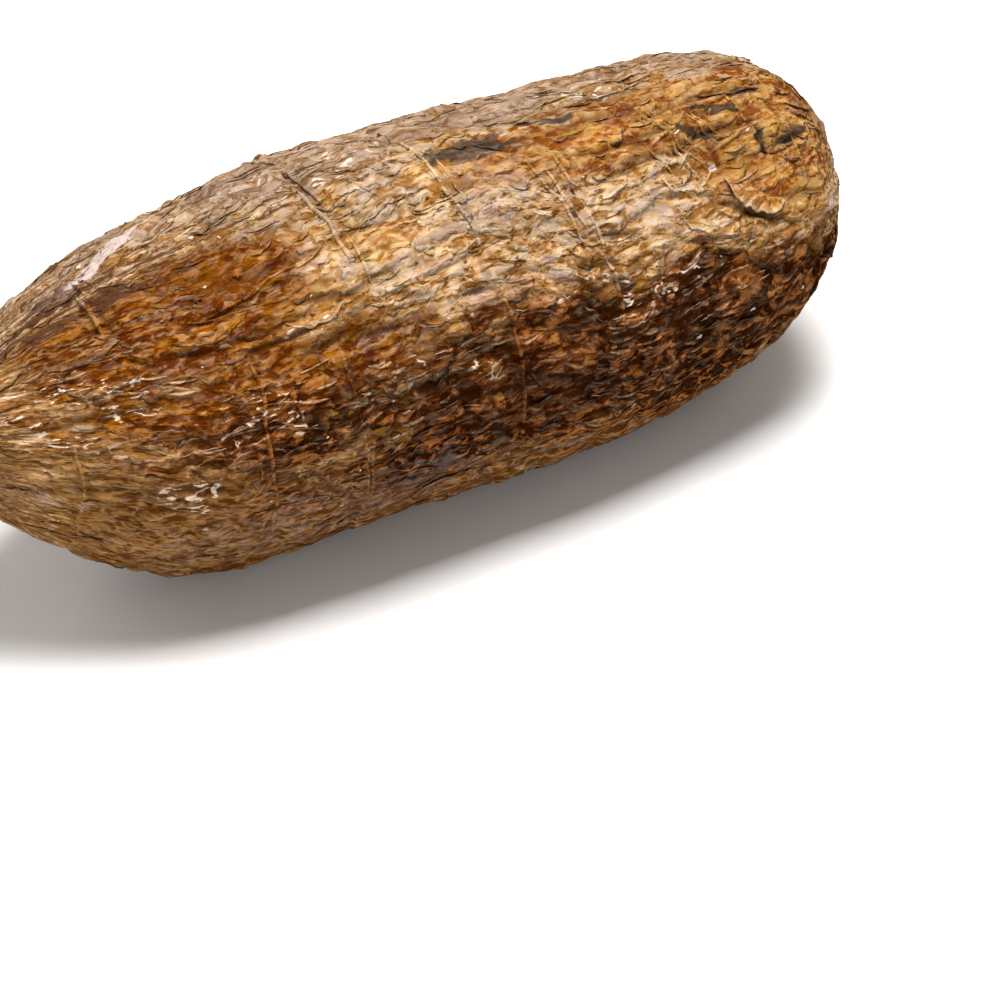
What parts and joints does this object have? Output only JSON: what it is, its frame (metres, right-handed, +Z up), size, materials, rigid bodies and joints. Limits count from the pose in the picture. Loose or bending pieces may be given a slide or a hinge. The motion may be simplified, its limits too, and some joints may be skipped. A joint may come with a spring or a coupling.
{
  "type": "cassava root",
  "caption": "Whole cassava root: a fat spindle in rough flaking brown bark, with a snapped tail and the scar of its cut stem neck, lying on its side.",
  "frame": {"origin": "on the surface that the root lies on, under the middle of the root's bounding box", "axes": "+X along the root from its snapped tail to its blunt stem end, +Z up, +Y to the left of +X"},
  "size_m": [0.2609, 0.0913, 0.0877],
  "materials": {
    "bark": "rough flaking bark with a thin broken coat of wax"
  },
  "bodies": {
    "root": {"cassava_root": "bark"}
  },
  "joints": []
}
